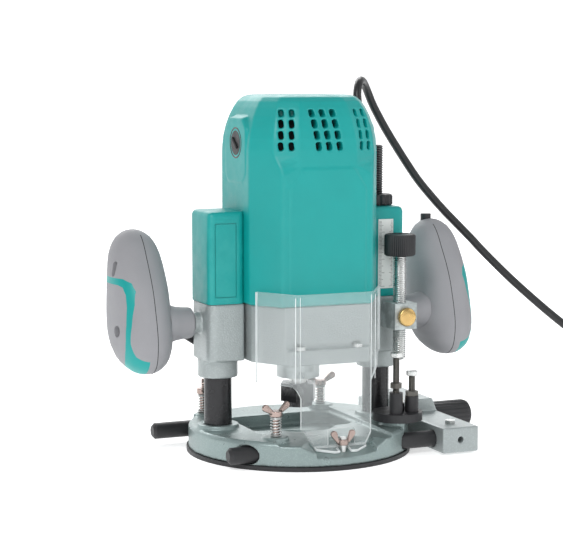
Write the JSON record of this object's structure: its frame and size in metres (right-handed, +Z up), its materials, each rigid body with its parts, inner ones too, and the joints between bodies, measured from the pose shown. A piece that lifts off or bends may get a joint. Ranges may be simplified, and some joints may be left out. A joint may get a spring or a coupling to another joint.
{
  "type": "plunge router",
  "caption": "Electric plunge router: round base, twin columns, upright motor with collet, side grips, depth stop with turret, side guide, clear chip deflector, mains cord.",
  "frame": {"origin": "the centre of the sole's cutter opening, on the sole's sliding face", "axes": "+Z up along the spindle, +X towards the depth stop and side guide, -Y towards the operator and the clear chip deflector"},
  "size_m": [0.5134, 0.1655, 0.273],
  "materials": {
    "casting": "silver-grey hammered paint over a die casting",
    "green_plastic": "moulded, low gloss",
    "grey_plastic": "moulded, fine texture",
    "black_plastic": "moulded, fine texture",
    "black_steel": "blackened",
    "zinc_steel": "bright zinc",
    "bronzed_steel": "passivated, faintly pink",
    "brass": "turned brass",
    "copper": "lacquered copper wire",
    "core_steel": "stacked sheet steel",
    "carbon": "pressed carbon",
    "clear_sheet": "clear moulded plastic",
    "scale_face": "printed strip",
    "cord_rubber": "matt cord jacket"
  },
  "bodies": {
    "base": {"sole_plate": "black_plastic", "sole_screws": "zinc_steel", "base_casting": "casting", "columns": "black_steel", "plunge_springs": "zinc_steel", "limit_rod": "black_steel", "clamp_springs": "zinc_steel", "chip_deflector": "clear_sheet", "deflector_stud": "zinc_steel", "turret_pivot": "brass", "cord_tube": "cord_rubber", "cord_coil": "cord_rubber", "plug": "black_plastic"},
    "motor": {"motor_bracket": "casting", "column_sleeves": "casting", "bearing_retainer": "casting", "bracket_screws": "zinc_steel", "motor_housing": "green_plastic", "cover_left": "green_plastic", "cover_right": "green_plastic", "scale_strip": "scale_face", "brush_caps": "black_plastic", "brush_holders": "brass", "carbon_brushes": "carbon", "stator_core": "core_steel", "field_windings": "copper", "upper_bearing": "zinc_steel", "lower_bearing": "zinc_steel", "pole_clamp_block": "casting", "handle_studs": "zinc_steel", "handle_left_shells": "grey_plastic", "handle_left_trim": "green_plastic", "handle_right_shells": "grey_plastic", "handle_right_trim": "green_plastic", "cord_guard": "cord_rubber"},
    "spindle": {"spindle_shaft": "zinc_steel", "armature_core": "core_steel", "commutator": "copper", "cooling_fan": "black_plastic", "collet": "zinc_steel", "collet_nut": "black_steel"},
    "lift_limit_nut": {"limit_nut": "black_plastic"},
    "wing_front_left": {"wing_bolt_front_left": "bronzed_steel"},
    "wing_back_left": {"wing_bolt_back_left": "bronzed_steel"},
    "wing_back_right": {"wing_bolt_back_right": "bronzed_steel"},
    "guide": {"guide_rods": "black_steel", "guide_bracket": "casting", "guide_screws": "zinc_steel"},
    "guide_knob": {"adjuster_knob": "black_plastic"},
    "turret": {"turret_disc": "black_plastic", "stop_bolts": "black_steel", "stop_nuts": "zinc_steel"},
    "deflector_nut": {"deflector_wing_nut": "bronzed_steel"},
    "pole": {"depth_pole": "zinc_steel"},
    "pole_knob": {"depth_pole_knob": "black_plastic"},
    "pole_screw": {"pole_clamp_screw": "brass"},
    "lock_lever": {"plunge_lock_lever": "black_plastic"},
    "switch_trigger": {"trigger": "black_plastic"},
    "switch_lock": {"lock_button": "black_plastic"},
    "spindle_lock": {"shaft_lock": "black_plastic"}
  },
  "joints": [
    {"name": "plunge", "type": "slide", "parent": "base", "child": "motor", "axis": [0, 0, 1], "range_m": [-0.025, 0], "stiffness_N_per_m": 1500, "springref_m": 0.05, "deforming": ["plunge_springs"]},
    {"name": "spindle_turn", "type": "hinge", "parent": "motor", "child": "spindle", "pos_m": [0, 0, 0.1], "axis": [0, 0, 1], "continuous": true},
    {"name": "lift_limit_travel", "type": "slide", "parent": "base", "child": "lift_limit_nut", "axis": [0, 0, 1], "range_m": [0, 0.028]},
    {"name": "wing_front_left_turn", "type": "hinge", "parent": "base", "child": "wing_front_left", "pos_m": [-0.0396, -0.052, 0.036], "axis": [0, 0, 1], "range_deg": [-90, 90]},
    {"name": "wing_back_left_turn", "type": "hinge", "parent": "base", "child": "wing_back_left", "pos_m": [-0.0555, 0.052, 0.036], "axis": [0, 0, 1], "range_deg": [-90, 90]},
    {"name": "wing_back_right_turn", "type": "hinge", "parent": "base", "child": "wing_back_right", "pos_m": [0.0412, 0.052, 0.036], "axis": [0, 0, 1], "range_deg": [-90, 90]},
    {"name": "guide_slide", "type": "slide", "parent": "base", "child": "guide", "axis": [1, 0, 0], "range_m": [0, 0.06]},
    {"name": "guide_knob_turn", "type": "hinge", "parent": "guide", "child": "guide_knob", "pos_m": [0.13, 0.01, 0.013], "axis": [1, 0, 0], "range_deg": [-180, 180]},
    {"name": "turret_turn", "type": "hinge", "parent": "base", "child": "turret", "pos_m": [0.0615, -0.0404, 0.024], "axis": [0, 0, 1], "range_deg": [-90, 0]},
    {"name": "deflector_nut_turn", "type": "hinge", "parent": "base", "child": "deflector_nut", "pos_m": [0.004, -0.07, 0.018], "axis": [0, 0, 1], "range_deg": [-90, 90]},
    {"name": "pole_slide", "type": "slide", "parent": "motor", "child": "pole", "axis": [0, 0, 1], "range_m": [-0.0035, 0.02]},
    {"name": "pole_knob_turn", "type": "hinge", "parent": "pole", "child": "pole_knob", "pos_m": [0.0671, -0.0315, 0.15], "axis": [0, 0, 1], "range_deg": [-180, 180]},
    {"name": "pole_screw_turn", "type": "hinge", "parent": "motor", "child": "pole_screw", "pos_m": [0.0671, -0.044, 0.0993], "axis": [0, 1, 0], "range_deg": [-90, 90]},
    {"name": "lock_lever_turn", "type": "hinge", "parent": "motor", "child": "lock_lever", "pos_m": [-0.0633, 0.023, 0.08], "axis": [0, 1, 0], "range_deg": [0, 35]},
    {"name": "trigger_press", "type": "slide", "parent": "motor", "child": "switch_trigger", "axis": [0, -1, 0], "range_m": [0, 0.005], "stiffness_N_per_m": 300, "springref_m": -0.003},
    {"name": "switch_lock_press", "type": "slide", "parent": "motor", "child": "switch_lock", "axis": [0, 0, -1], "range_m": [0, 0.004], "stiffness_N_per_m": 200, "springref_m": -0.002},
    {"name": "spindle_lock_press", "type": "slide", "parent": "motor", "child": "spindle_lock", "axis": [0, -1, 0], "range_m": [0, 0.005], "stiffness_N_per_m": 300, "springref_m": -0.003}
  ]
}
